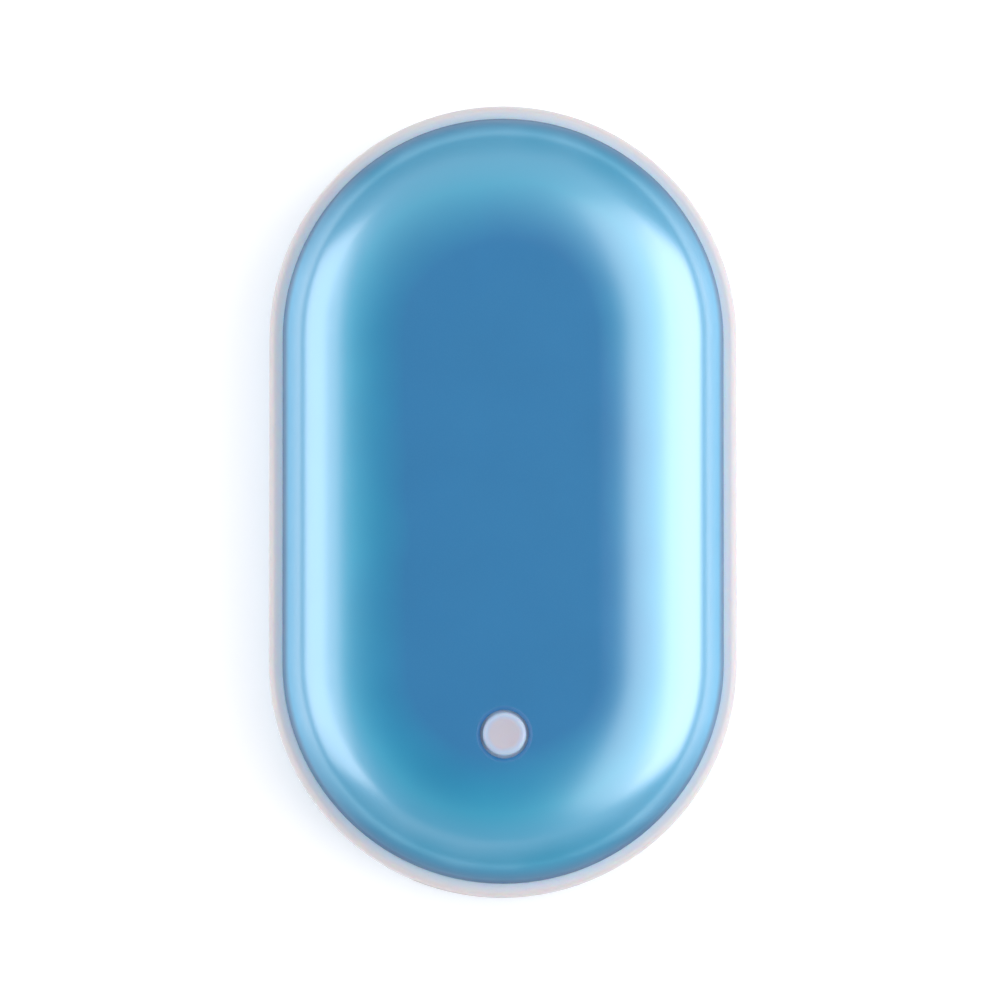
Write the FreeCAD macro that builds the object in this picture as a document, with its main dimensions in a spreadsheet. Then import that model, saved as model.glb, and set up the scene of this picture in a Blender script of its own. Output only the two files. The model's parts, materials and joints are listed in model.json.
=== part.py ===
import FreeCAD, Part
import math
import os
import re
from collections import namedtuple

import Sketcher

# Rechargeable hand warmer: two domed metal shells on a pale split frame, with a push button on the front.
#
# The part lies on its back. X runs across it, Y along it with the button towards -Y, and Z is up. The origin
# is on the surface that it lies on, under the middle of the back shell. Lengths are millimetres and angles
# are degrees.

# Driving sizes, one cell of the sheet each.
SIZES = {
    # Body seen from above, a stadium with round ends, and the pale band between the shells
    "body_length": 97.0,
    "body_width": 57.3,
    "rim_ledge": 1.65,
    "rim_round": 0.8,
    "parting_chamfer": 0.2,
    # Domed shells: a flat middle, a gentle crown, a round edge and a short upright lip
    "shell_wall": 0.8,
    "lip_height": 0.6,
    "lip_bevel": 0.25,
    "edge_radius": 7.76,
    "crown_radius": 30.0,
    "crown_angle": 20.0,
    # Frame halves: a collar inside each shell's lip, and a deck across the collar
    "collar_height": 1.6,
    "collar_wall": 1.4,
    "collar_fit": 0.2,
    "deck_thickness": 1.5,
    "window_rim": 2.0,
    # Screws that join the frame halves, and their bosses
    "boss_diameter": 6.6,
    "boss_gap": 0.4,
    "front_boss_diameter": 4.8,
    "front_boss_rise": 3.4,
    "front_boss_cap": 1.1,
    "near_boss_angle": 22.0,
    "far_boss_angle": 54.0,
    "screw_diameter": 1.7,
    "screw_fit": 0.02,
    "screw_hole_gap": 0.3,
    "screw_head_diameter": 3.6,
    "screw_head_height": 1.3,
    "screw_head_gap": 0.3,
    "screw_grip": 4.6,
    "recess_width": 0.5,
    "recess_depth": 0.6,
    # Button cap
    "button_reach": 19.7,
    "button_diameter": 5.3,
    "button_gap": 0.3,
    "button_bevel": 0.45,
    "button_proud": 0.6,
    "button_round": 0.5,
    "button_travel": 0.3,
    "dish_margin": 0.45,
    "dish_depth": 0.12,
    "flange_lip": 1.05,
    "flange_thickness": 0.8,
    "flange_gap": 0.1,
    "stem_diameter": 3.4,
    "stem_fit": 0.15,
    "stem_spare": 0.3,
    # Turret of the front frame that guides the cap's stem over the switch
    "turret_room": 1.2,
    "turret_wall": 1.2,
    # Tactile switch
    "switch_side": 6.0,
    "switch_height": 4.3,
    "switch_base_height": 3.1,
    "switch_floor": 0.9,
    "switch_cover_thickness": 0.3,
    "switch_wall": 0.6,
    "plunger_lip": 0.5,
    "plunger_flange_gap": 0.2,
    "plunger_fit": 0.15,
    "press_gap": 0.05,
    "dome_gap": 0.15,
    "dome_rise": 0.5,
    "dome_thickness": 0.1,
    "switch_leg_width": 0.7,
    "switch_leg_length": 1.1,
    "switch_leg_thickness": 0.2,
    # Status lights beside the switch
    "light_length": 1.6,
    "light_width": 0.8,
    "light_height": 0.6,
    "light_gap": 0.5,
    # Heating films and insulating pads inside the shells
    "bond_line": 0.05,
    "film_thickness": 0.2,
    "film_angle": 14.0,
    "pad_thickness": 1.9,
    "pad_angle": 6.0,
    "turret_clearance": 0.5,
    # Battery compartment of the back frame, and the battery in it
    "tub_wall": 1.0,
    "tub_corner_share": 0.33,
    "tub_shell_gap": 0.6,
    "tub_side_gap": 0.7,
    "tub_near_gap": 0.8,
    "cell_gap": 0.3,
    "cell_edge": 1.5,
    "cell_terrace": 3.6,
    "tape_thickness": 0.3,
    "foam_thickness": 0.5,
    "pad_margin": 5.0,
    "battery_board_thickness": 1.0,
    "battery_board_margin": 0.3,
    "battery_board_height": 7.0,
    "tab_width": 4.0,
    "tab_thickness": 0.2,
    "tab_spread": 18.0,
    # Main board
    "board_thickness": 1.2,
    "board_gap": 0.3,
    "board_margin": 6.5,
    "board_strip": 12.5,
    # Sockets in the button end of the band
    "port_web": 1.05,
    "port_gap": 0.15,
    "port_recess": 0.1,
    "usb_a_width": 13.1,
    "usb_a_height": 5.7,
    "usb_a_depth": 10.0,
    "usb_a_wall": 0.3,
    "usb_a_sill": 1.2,
    "usb_a_tongue_side": 0.7,
    "usb_a_tongue_thickness": 1.84,
    "usb_a_tongue_gap": 0.66,
    "usb_a_tongue_recess": 1.2,
    "usb_a_block": 2.2,
    "usb_a_contact_width": 1.0,
    "usb_a_contact_thickness": 0.15,
    "usb_a_contact_setback": 0.9,
    "usb_a_outer_pitch": 7.0,
    "usb_a_inner_pitch": 2.0,
    "micro_width": 7.4,
    "micro_height": 2.5,
    "micro_depth": 5.4,
    "micro_wall": 0.25,
    "micro_chamfer": 0.9,
    "micro_tongue_width": 3.7,
    "micro_tongue_thickness": 0.6,
    "micro_tongue_recess": 0.8,
    "micro_block": 1.4,
    "micro_contact_width": 0.35,
    "micro_contact_thickness": 0.1,
    "micro_contact_setback": 0.35,
    "micro_contact_pitch": 0.65,
    # Parts soldered to the main board
    "inductor_side": 5.0,
    "inductor_height": 3.0,
    "inductor_core": 3.8,
    "inductor_slot": 0.7,
    "inductor_gap": 0.8,
    "chip_length": 8.6,
    "chip_width": 3.9,
    "chip_height": 1.5,
    "chip_leg_length": 0.9,
    "chip_leg_width": 0.4,
    "chip_leg_thickness": 0.2,
    "chip_end": 0.49,
    "chip_gap": 1.2,
    "capacitor_length": 3.2,
    "capacitor_width": 1.6,
    "capacitor_pitch": 18.0,
    "resistor_length": 1.6,
    "resistor_width": 0.8,
    "resistor_height": 0.5,
    "resistor_pitch": 2.4,
    "transistor_length": 2.9,
    "transistor_width": 1.4,
    "transistor_height": 1.0,
    "transistor_pitch": 4.2,
    "small_part_row": 2.2,
    # Leads and the thermistor
    "lead_diameter": 1.1,
    "lead_gap": 1.6,
    "lead_pitch": 1.5,
    "lead_drop": 2.8,
    "lead_inset": 2.1,
    "lead_clearance": 2.2,
    "back_lead_rise": 8.4,
    "back_lead_shift": 3.4,
    "back_lead_gap": 1.15,
    "battery_lead_spread": 10.0,
    "battery_lead_run": 3.4,
    "thermistor_diameter": 1.8,
    "thermistor_gap": 2.1,
    "thermistor_lead_diameter": 0.4,
    "thermistor_lead_spread": 1.2,
    # How far a cut runs past the material it cuts
    "overrun": 2.0,
}

# Sizes that follow from the driving ones, as formulas in their names.
DERIVED = {
    # Plan of the body
    "half_width": "body_width / 2",
    "end_centre": "(body_length - body_width) / 2",
    "shell_half": "half_width - rim_ledge",
    "collar_half": "shell_half - shell_wall - collar_fit",
    "inner_half": "collar_half - collar_wall",
    # Dome of a shell, measured up from its lip
    "edge_start": "shell_half - edge_radius * (1 - sin(crown_angle))",
    "flat_half": "edge_start - crown_radius * sin(crown_angle)",
    "dome_depth": "lip_height + edge_radius * cos(crown_angle) + crown_radius * (1 - cos(crown_angle))",
    "crown_centre": "dome_depth - crown_radius",
    "edge_level": "crown_centre + crown_radius * cos(crown_angle)",
    "film_top": "dome_depth - shell_wall - bond_line",
    "film_outer": "crown_radius - shell_wall - bond_line",
    "film_inner": "film_outer - film_thickness",
    "pad_outer": "film_inner - bond_line",
    "pad_floor": "film_top - film_thickness - bond_line - pad_thickness",
    # Levels above the surface that the part lies on, with a band deep enough for the larger socket
    "band_height": "board_thickness + deck_thickness - collar_height + usb_a_height + usb_a_sill",
    "body_height": "2 * dome_depth + band_height",
    "split_level": "dome_depth + band_height / 2",
    "front_ledge": "dome_depth + band_height",
    "deck_top": "front_ledge + collar_height",
    "deck_level": "deck_top - deck_thickness",
    "board_bottom": "deck_level - board_thickness",
    "back_deck_bottom": "dome_depth - collar_height",
    "back_deck_top": "back_deck_bottom + deck_thickness",
    "tub_bottom": "dome_depth - pad_floor",
    "tub_floor": "tub_bottom + tub_wall",
    "cell_bottom": "tub_floor + tape_thickness",
    "cell_top": "deck_level - foam_thickness",
    # Button, from the top of the front shell down to the switch
    "button_y": "button_reach - body_length / 2",
    "button_hole": "button_diameter / 2 + button_gap",
    "flange_radius": "button_diameter / 2 + flange_lip",
    "flange_overhang": "max(0; flange_radius - button_y - end_centre - flat_half)",
    "crown_inside": "crown_radius - shell_wall",
    "shell_inside": "front_ledge + crown_centre + sqrt(crown_inside ^ 2 - flange_overhang ^ 2)",
    "flange_top": "shell_inside - flange_gap",
    "flange_bottom": "flange_top - flange_thickness",
    "turret_top": "flange_bottom - button_travel - stem_spare",
    "plunger_top": "deck_level + switch_height",
    "stem_bottom": "plunger_top + press_gap",
    "turret_ceiling": "plunger_top + stem_spare",
    "turret_bore": "switch_side + 2 * (switch_leg_length + turret_room)",
    "turret_radius": "turret_bore / 2 + turret_wall",
    "cover_bottom": "deck_level + switch_base_height",
    "cavity_floor": "deck_level + switch_floor",
    "switch_cavity": "switch_side - 2 * switch_wall",
    "plunger_flange": "switch_cavity - 2 * plunger_flange_gap",
    "plunger_diameter": "plunger_flange - 2 * plunger_lip",
    "dome_diameter": "switch_cavity - 2 * dome_gap",
    # Battery compartment, whose far corners stop short of the back shell's edge at the compartment's floor
    "edge_inside": "edge_radius - shell_wall",
    "tub_room": "sqrt(edge_inside ^ 2 - (pad_floor - lip_height) ^ 2)",
    "tub_reach": "shell_half - edge_radius + tub_room - tub_shell_gap",
    "tub_half": "tub_reach - tub_side_gap",
    "tub_corner": "tub_corner_share * tub_half",
    "tub_bay": "sqrt((tub_reach - tub_corner) ^ 2 - (tub_half - tub_corner) ^ 2)",
    "tub_near": "board_edge + tub_near_gap",
    "tub_far": "end_centre + tub_corner + tub_bay",
    # Places of the battery and the board along the body
    "cell_half": "tub_half - tub_wall - cell_gap",
    "cell_far": "tub_far - tub_wall - cell_gap",
    "cell_near": "tub_near + tub_wall + cell_terrace",
    "battery_board_near": "tub_near + tub_wall + cell_gap + battery_board_thickness",
    "cell_middle": "(cell_bottom + cell_top) / 2",
    "board_edge": "button_y + board_margin",
    "window_edge": "board_strip - body_length / 2",
    # Screws
    "boss_circle": "inner_half - boss_diameter / 2 - boss_gap",
    "screw_seat": "board_bottom - screw_grip",
    "screw_hole": "screw_diameter / 2 + screw_hole_gap",
    "screw_tip": "deck_top + front_boss_rise - front_boss_cap",
    # Sockets
    "ports_half": "(usb_a_width + port_web + micro_width) / 2",
    "usb_a_x": "usb_a_width / 2 - ports_half",
    "micro_x": "ports_half - micro_width / 2",
    "port_plane": "port_recess - end_centre - sqrt(half_width * half_width - ports_half * ports_half)",
    "usb_a_back": "port_plane + usb_a_depth",
    "usb_a_bottom": "board_bottom - usb_a_height",
    "micro_bottom": "board_bottom - micro_height",
    "micro_inner_chamfer": "(micro_chamfer - micro_wall * (2 - sqrt(2)))",
    # Leads, which leave the films beside the turret
    "lead_x": "turret_radius + lead_gap",
    "lead_landing": "window_edge - lead_clearance",
    "back_lead_x": "chip_length / 2 + lead_diameter / 2 + back_lead_gap",
    "back_lead_y": "button_y - back_lead_shift",
    "thermistor_x": "turret_radius + thermistor_gap",
}

Outline = namedtuple("Outline", "corners arcs")
Disc = namedtuple("Disc", "x y radius")

# Part of the shorter run that each bend of a lead takes up, and how closely its volume is checked
BEND_SHARE = 0.45
VOLUME_SHARE = 0.01

# Signs of the two sides of the middle plane
WAYS = ("0 - 1", "1")

LEADS = 2
CHIP_LEGS_PER_ROW = 7
MICRO_CONTACTS = 5
CAPACITORS = 2
RESISTORS = 3
TRANSISTORS = 2

doc = FreeCAD.newDocument("hand_warmer")
sheet = doc.addObject("Spreadsheet::Sheet", "Sizes")
pieces = []


# Formulas and the sheet


def fill_sheet():
    for row, (alias, size) in enumerate(SIZES.items(), start=1):
        sheet.set(f"A{row}", alias)
        sheet.set(f"B{row}", str(size))
        sheet.setAlias(f"B{row}", alias)
    doc.recompute()


def expression(formula):
    """The formula with each driving size as its cell and each derived size written out."""

    def spell(match):
        name = match[0]
        if name in SIZES:
            return f"Sizes.{name}"
        if name in DERIVED:
            return f"({expression(DERIVED[name])})"
        return name

    return re.sub(r"[a-z_]\w*", spell, formula)


def number(formula):
    """What the formula comes to now."""
    return float(sheet.evalExpression(expression(formula)))


def minus(formula):
    return f"0 - ({formula})"


def bind(thing, **formulas):
    for name, formula in formulas.items():
        thing.setExpression(name, expression(formula))


def place(thing, x="0", y="0", z="0"):
    for axis, formula in (("x", x), ("y", y), ("z", z)):
        thing.setExpression(f"Placement.Base.{axis}", expression(formula))


def keep(thing, label):
    """Makes a finished object one of the part's pieces."""
    thing.Label = label
    pieces.append(thing)
    return thing


# Sketches


def origin_plane(body, role):
    return next(plane for plane in body.Origin.OriginFeatures if plane.Role == role)


def new_sketch(body, plane, level="0"):
    """An empty sketch on an origin plane, moved along the plane's normal. The normal of XZ_Plane is -Y."""
    sketch = body.newObject("Sketcher::SketchObject", "Sketch")
    sketch.AttachmentSupport = [(origin_plane(body, plane), "")]
    sketch.MapMode = "FlatFace"
    sketch.setExpression("AttachmentOffset.Base.z", expression(level))
    return sketch


def pin(sketch, geometry, vertex, axis, formula):
    """Holds one coordinate of a vertex at a formula."""
    kind = {"x": "DistanceX", "y": "DistanceY"}[axis]
    at = sketch.addConstraint(Sketcher.Constraint(kind, -1, 1, geometry, vertex, number(formula)))
    sketch.setExpression(f"Constraints[{at}]", expression(formula))


def arc_between(start, end, centre):
    """The arc of up to half a turn from start to end, and whether it runs counterclockwise."""
    spokes = [point - centre for point in (start, end)]
    counterclockwise = spokes[0].cross(spokes[1]).z > -Part.Precision.confusion()
    angles = [math.atan2(spoke.y, spoke.x) for spoke in spokes]
    if not counterclockwise:
        angles.reverse()
    circle = Part.Circle(centre, FreeCAD.Vector(0, 0, 1), spokes[0].Length)
    return Part.ArcOfCircle(circle, *angles), counterclockwise


def draw_outline(sketch, outline):
    """A closed chain of lines, with arcs where outline.arcs gives an edge's centre."""
    points = [FreeCAD.Vector(number(x), number(y), 0) for x, y in outline.corners]
    first = sketch.GeometryCount
    ends = []
    for edge, start in enumerate(points):
        end = points[(edge + 1) % len(points)]
        forward = True
        if edge in outline.arcs:
            centre = FreeCAD.Vector(*(number(formula) for formula in outline.arcs[edge]), 0)
            curve, forward = arc_between(start, end, centre)
        else:
            curve = Part.LineSegment(start, end)
        sketch.addGeometry(curve, False)
        ends.append((1, 2) if forward else (2, 1))
    for edge, corner in enumerate(outline.corners):
        before = (edge - 1) % len(points)
        sketch.addConstraint(
            Sketcher.Constraint("Coincident", first + before, ends[before][1], first + edge, ends[edge][0])
        )
        for axis, formula in zip("xy", corner):
            pin(sketch, first + edge, ends[edge][0], axis, formula)
        if edge in outline.arcs:
            chord = points[(edge + 1) % len(points)] - points[edge]
            axis = "y" if abs(chord.x) > abs(chord.y) else "x"
            pin(sketch, first + edge, 3, axis, outline.arcs[edge]["xy".index(axis)])


def draw_disc(sketch, disc):
    centre = FreeCAD.Vector(number(disc.x), number(disc.y), 0)
    circle = Part.Circle(centre, FreeCAD.Vector(0, 0, 1), number(disc.radius))
    at = sketch.addGeometry(circle, False)
    pin(sketch, at, 3, "x", disc.x)
    pin(sketch, at, 3, "y", disc.y)
    size = sketch.addConstraint(Sketcher.Constraint("Radius", at, number(disc.radius)))
    sketch.setExpression(f"Constraints[{size}]", expression(disc.radius))


def draw(sketch, shapes):
    for shape in shapes:
        if isinstance(shape, Disc):
            draw_disc(sketch, shape)
        else:
            draw_outline(sketch, shape)


def rectangle(left, low, right, high):
    return Outline([(left, low), (right, low), (right, high), (left, high)], {})


def rounded_rectangle(left, low, right, high, radius):
    inner_left, inner_right = f"{left} + {radius}", f"{right} - ({radius})"
    inner_low, inner_high = f"{low} + {radius}", f"{high} - ({radius})"
    corners = [
        (inner_left, low),
        (inner_right, low),
        (right, inner_low),
        (right, inner_high),
        (inner_right, high),
        (inner_left, high),
        (left, inner_high),
        (left, inner_low),
    ]
    arcs = {
        1: (inner_right, inner_low),
        3: (inner_right, inner_high),
        5: (inner_left, inner_high),
        7: (inner_left, inner_low),
    }
    return Outline(corners, arcs)


def end_segment(radius, edge):
    """A circular segment at the button end, cut off straight at y = edge."""
    reach = f"sqrt(({radius}) * ({radius}) - ({edge} + end_centre) * ({edge} + end_centre))"
    return Outline([(minus(reach), edge), (reach, edge)], {0: ("0", minus("end_centre"))})


# Features of a body


def new_body(label):
    return keep(doc.addObject("PartDesign::Body", label), label)


def feature(body, kind, sketch):
    made = body.newObject(f"PartDesign::{kind}", kind)
    made.Profile = sketch
    return made


def add(body, low, high, *shapes):
    """Pads shapes from one level up to another."""
    sketch = new_sketch(body, "XY_Plane", low)
    draw(sketch, shapes)
    made = feature(body, "Pad", sketch)
    bind(made, Length=f"{high} - ({low})")
    return made


def cut(body, low, high, *shapes):
    """Pockets shapes from one level up to another."""
    sketch = new_sketch(body, "XY_Plane", high)
    draw(sketch, shapes)
    made = feature(body, "Pocket", sketch)
    bind(made, Length=f"{high} - ({low})")
    return made


def mirror(body, original, plane):
    made = body.newObject("PartDesign::Mirrored", "Mirrored")
    made.Originals = [original]
    made.MirrorPlane = (origin_plane(body, plane), [""])
    body.Tip = made
    return made


def turn(body, kind, outline, y="0", angle="360"):
    """A Revolution or Groove of a half section about the upright axis through (0, y)."""
    sketch = new_sketch(body, "XZ_Plane", minus(y))
    draw(sketch, [outline])
    made = feature(body, kind, sketch)
    made.ReferenceAxis = (sketch, ["V_Axis"])
    bind(made, Angle=angle)
    return made


def carry_round(body, section):
    """Carries a half section, drawn outwards from the middle plane, along both sides and round both ends."""
    sketch = new_sketch(body, "XZ_Plane")
    draw(sketch, [section])
    side = feature(body, "Pad", sketch)
    side.SideType = "Symmetric"
    bind(side, Length="2 * end_centre")
    mirror(body, side, "YZ_Plane")
    end = turn(body, "Revolution", section, y="end_centre", angle="180")
    mirror(body, end, "XZ_Plane")


# Blocks, rods and groups


def box(name, x, y, z):
    """A block between pairs of formulas, (low, high), on each axis."""
    made = doc.addObject("Part::Box", name)
    spans = {"Length": x, "Width": y, "Height": z}
    bind(made, **{side: f"{high} - ({low})" for side, (low, high) in spans.items()})
    place(made, x[0], y[0], z[0])
    return made


def about(middle, size):
    """The pair of formulas for a span of that size about its middle."""
    return f"{middle} - ({size}) / 2", f"{middle} + ({size}) / 2"


def rod(name, x, y, low, high, radius):
    made = doc.addObject("Part::Cylinder", name)
    bind(made, Radius=radius, Height=f"{high} - ({low})")
    place(made, x, y, low)
    return made


def fuse(name, *things):
    made = doc.addObject("Part::MultiFuse", name)
    made.Shapes = list(things)
    return made


def subtract(name, base, tool):
    made = doc.addObject("Part::Cut", name)
    made.Base, made.Tool = base, tool
    return made


def group(label, things):
    made = doc.addObject("Part::Compound", label)
    made.Links = list(things)
    return keep(made, label)


def bent_tube(route, diameter):
    """A solid tube along straight runs with an arc at each inner point of the route."""
    points = [FreeCAD.Vector(*(number(formula) for formula in point)) for point in route]
    edges, start = [], points[0]
    for before, corner, after in zip(points, points[1:], points[2:]):
        back, ahead = (before - corner), (after - corner)
        reach = BEND_SHARE * min(back.Length, ahead.Length)
        back.normalize()
        ahead.normalize()
        arc_start, arc_end = corner + back * reach, corner + ahead * reach
        half_turn = (math.pi - back.getAngle(ahead)) / 2
        radius = reach / math.tan(half_turn)
        inward = (back + ahead).normalize()
        middle = corner + inward * (radius / math.cos(half_turn) - radius)
        edges.append(Part.LineSegment(start, arc_start).toShape())
        edges.append(Part.Arc(arc_start, middle, arc_end).toShape())
        start = arc_end
    edges.append(Part.LineSegment(start, points[-1]).toShape())
    path = Part.Wire(edges)
    ring = Part.Wire(Part.makeCircle(number(diameter) / 2, points[0], points[1] - points[0]))
    tube = path.makePipeShell([ring], True, False)
    expected = math.pi * number(diameter) ** 2 / 4 * path.Length
    if abs(tube.Volume - expected) > VOLUME_SHARE * expected:
        raise RuntimeError(f"a lead of {path.Length:.1f} mm came out with the wrong volume")
    return tube


def tubes(label, routes, diameter):
    made = doc.addObject("Part::Feature", label)
    made.Shape = Part.makeCompound([bent_tube(route, diameter) for route in routes])
    made.Placement = FreeCAD.Placement()
    return keep(made, label)


def both_sides(route):
    """The route and its mirror image across the middle plane."""
    return [route, [(minus(x), y, z) for x, y, z in route]]


# Casing


def shell_section():
    corners = [
        ("0", "dome_depth"),
        ("flat_half", "dome_depth"),
        ("edge_start", "edge_level"),
        ("shell_half", "lip_height"),
        ("shell_half", "lip_bevel"),
        ("shell_half - lip_bevel", "0"),
        ("shell_half - shell_wall", "0"),
        ("shell_half - shell_wall", "lip_height"),
        ("edge_start - shell_wall * sin(crown_angle)", "edge_level - shell_wall * cos(crown_angle)"),
        ("flat_half", "dome_depth - shell_wall"),
        ("0", "dome_depth - shell_wall"),
    ]
    crown, edge = ("flat_half", "crown_centre"), ("shell_half - edge_radius", "lip_height")
    return Outline(corners, {1: crown, 2: edge, 7: edge, 8: crown})


def film_section():
    corners = [
        ("0", "film_top"),
        ("flat_half", "film_top"),
        ("flat_half + film_outer * sin(film_angle)", "crown_centre + film_outer * cos(film_angle)"),
        ("flat_half + film_inner * sin(film_angle)", "crown_centre + film_inner * cos(film_angle)"),
        ("flat_half", "film_top - film_thickness"),
        ("0", "film_top - film_thickness"),
    ]
    crown = ("flat_half", "crown_centre")
    return Outline(corners, {1: crown, 3: crown})


def pad_section():
    top = "film_top - film_thickness - bond_line"
    edge = "flat_half + pad_outer * sin(pad_angle)"
    corners = [
        ("0", top),
        ("flat_half", top),
        (edge, "crown_centre + pad_outer * cos(pad_angle)"),
        (edge, "pad_floor"),
        ("0", "pad_floor"),
    ]
    return Outline(corners, {1: ("flat_half", "crown_centre")})


def face_up(body):
    """Sets a body that is drawn upwards from a lip on the front ledge."""
    place(body, z="front_ledge")


def face_down(body):
    """Turns a body that is drawn upwards from a lip over, onto the back ledge."""
    body.Placement.Rotation = FreeCAD.Rotation(FreeCAD.Vector(0, 1, 0), 180)
    place(body, z="dome_depth")


def make_shells():
    front = new_body("front_shell")
    carry_round(front, shell_section())
    bevel = "button_hole + button_bevel"
    above, below = "dome_depth + overrun", "dome_depth - shell_wall - overrun"
    hole = [
        ("0", below),
        ("button_hole", below),
        ("button_hole", "dome_depth - button_bevel"),
        (bevel, "dome_depth"),
        (bevel, above),
        ("0", above),
    ]
    turn(front, "Groove", Outline(hole, {}), y="button_y")
    face_up(front)
    back = new_body("back_shell")
    carry_round(back, shell_section())
    face_down(back)


def frame_section(way):
    """Half section of a frame half, which is built up from the split: way 1 is upwards, -1 is downwards."""
    ledge, collar = "band_height / 2", "band_height / 2 + collar_height"
    corners = [
        ("inner_half", "0"),
        ("half_width - parting_chamfer", "0"),
        ("half_width", "parting_chamfer"),
        ("half_width", f"{ledge} - rim_round"),
        ("half_width - rim_round", ledge),
        ("collar_half", ledge),
        ("collar_half", collar),
        ("0", collar),
        ("0", f"{collar} - deck_thickness"),
        ("inner_half", f"{collar} - deck_thickness"),
    ]
    levels = [(x, f"split_level + ({way}) * ({height})") for x, height in corners]
    rounding = ("half_width - rim_round", f"split_level + ({way}) * ({ledge} - rim_round)")
    return Outline(levels, {3: rounding})


def boss_places():
    """Axes of the four frame screws: two beside the board, and two at the far end."""
    places = []
    for way, angle in (("0 - 1", "near_boss_angle"), ("1", "far_boss_angle")):
        x, y = f"boss_circle * cos({angle})", f"({way}) * (end_centre + boss_circle * sin({angle}))"
        places += [(x, y), (minus(x), y)]
    return places


def discs(places, radius):
    return [Disc(x, y, radius) for x, y in places]


def cut_ports(frame):
    """Cuts the port bay and the two socket openings, of which each frame half has its share."""
    outside = minus("body_length / 2 + overrun")
    bay = "ports_half + port_web"
    low, high = "usb_a_bottom - port_gap", "board_bottom + port_gap"
    cut(frame, low, high, rectangle(minus(bay), outside, bay, "port_plane"))
    for socket, sill in (("usb_a", low), ("micro", "min(split_level; micro_bottom - port_gap)")):
        left, right = about(f"{socket}_x", f"{socket}_width + 2 * port_gap")
        cut(frame, sill, high, rectangle(left, outside, right, "usb_a_back"))


def make_front_frame():
    frame = new_body("front_frame")
    carry_round(frame, frame_section(1))
    places = boss_places()
    boss, pilot = "front_boss_diameter / 2", "screw_diameter / 2 + screw_fit"
    add(frame, "deck_level", "deck_top + front_boss_rise", *discs(places, boss))
    add(frame, "board_bottom", "deck_top", *discs(places[2:], "boss_diameter / 2"))
    add(frame, "deck_level", "turret_top", Disc("0", "button_y", "turret_radius"))
    cut(frame, "deck_level - overrun", "turret_ceiling", Disc("0", "button_y", "turret_bore / 2"))
    cut(frame, "deck_level", "turret_top + overrun", Disc("0", "button_y", "stem_diameter / 2 + stem_fit"))
    window = end_segment("inner_half - window_rim", "window_edge")
    cut(frame, "deck_level - overrun", "deck_top + overrun", window)
    cut(frame, "board_bottom - overrun", "screw_tip + screw_fit", *discs(places, pilot))
    cut_ports(frame)


def make_back_frame():
    frame = new_body("back_frame")
    carry_round(frame, frame_section(-1))
    places = boss_places()
    tub = rounded_rectangle(minus("tub_half"), "tub_near", "tub_half", "tub_far", "tub_corner")
    inner = "tub_half - tub_wall"
    near, far = "tub_near + tub_wall", "tub_far - tub_wall"
    hollow = rounded_rectangle(minus(inner), near, inner, far, "tub_corner - tub_wall")
    add(frame, "tub_bottom", "back_deck_top", tub)
    cut(frame, "tub_floor", "back_deck_top + overrun", hollow)
    below = "back_deck_bottom - overrun"
    head = "screw_head_diameter / 2 + screw_head_gap"
    add(frame, "back_deck_bottom", "board_bottom", *discs(places, "boss_diameter / 2"))
    cut(frame, below, "board_bottom + overrun", *discs(places, "screw_hole"))
    cut(frame, below, "screw_seat", *discs(places, head))
    half_window = "back_lead_x + lead_clearance"
    window = rectangle(minus(half_window), "back_lead_y - lead_clearance", half_window, "button_y")
    cut(frame, below, "back_deck_top + overrun", window)
    cut_ports(frame)


def make_frame_screws():
    screws = []
    for x, y in boss_places():
        head_bottom = "screw_seat - screw_head_height"
        head = rod("Head", x, y, head_bottom, "screw_seat", "screw_head_diameter / 2")
        shank = rod("Shank", x, y, "screw_seat", "screw_tip", "screw_diameter / 2")
        depth = (f"{head_bottom} - overrun", f"{head_bottom} + recess_depth")
        arm = "screw_head_diameter / 2"
        across = box("Across", about(x, arm), about(y, "recess_width"), depth)
        along = box("Along", about(x, "recess_width"), about(y, arm), depth)
        screws.append(subtract("Screw", fuse("Blank", head, shank), fuse("Recess", across, along)))
    group("frame_screws", screws)


# Heating


def make_heaters():
    pad_end = "button_y + turret_radius + turret_clearance"
    beyond = rectangle(minus("half_width"), minus("body_length / 2"), "half_width", pad_end)
    opening = Disc("0", "button_y", "turret_radius + turret_clearance")
    for side, set_on_ledge in (("front", face_up), ("back", face_down)):
        film = new_body(f"{side}_heater")
        carry_round(film, film_section())
        if side == "front":
            cut(film, "pad_floor", "dome_depth", opening)
        pad = new_body(f"{side}_insulator")
        carry_round(pad, pad_section())
        cut(pad, "pad_floor - overrun", "dome_depth", beyond)
        for body in (film, pad):
            set_on_ledge(body)


def film_level(x, y, width):
    """Height over a shell's lip of the film's inner face, at the far side of a piece near the button end."""
    reach = f"sqrt(({x}) ^ 2 + (min(0; {y} + end_centre)) ^ 2) + {width} / 2"
    return f"crown_centre + sqrt(film_inner ^ 2 - (max(0; {reach} - flat_half)) ^ 2)"


def front_lead(way, x, top):
    """Route from a place on that side of the turret to the board, through the window in the deck."""
    landing = f"{x} - ({way}) * lead_inset"
    return [
        (x, "button_y", top),
        (x, "button_y", f"{top} - lead_drop"),
        (landing, "lead_landing", "deck_top + lead_diameter"),
        (landing, "lead_landing", "deck_level"),
    ]


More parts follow.
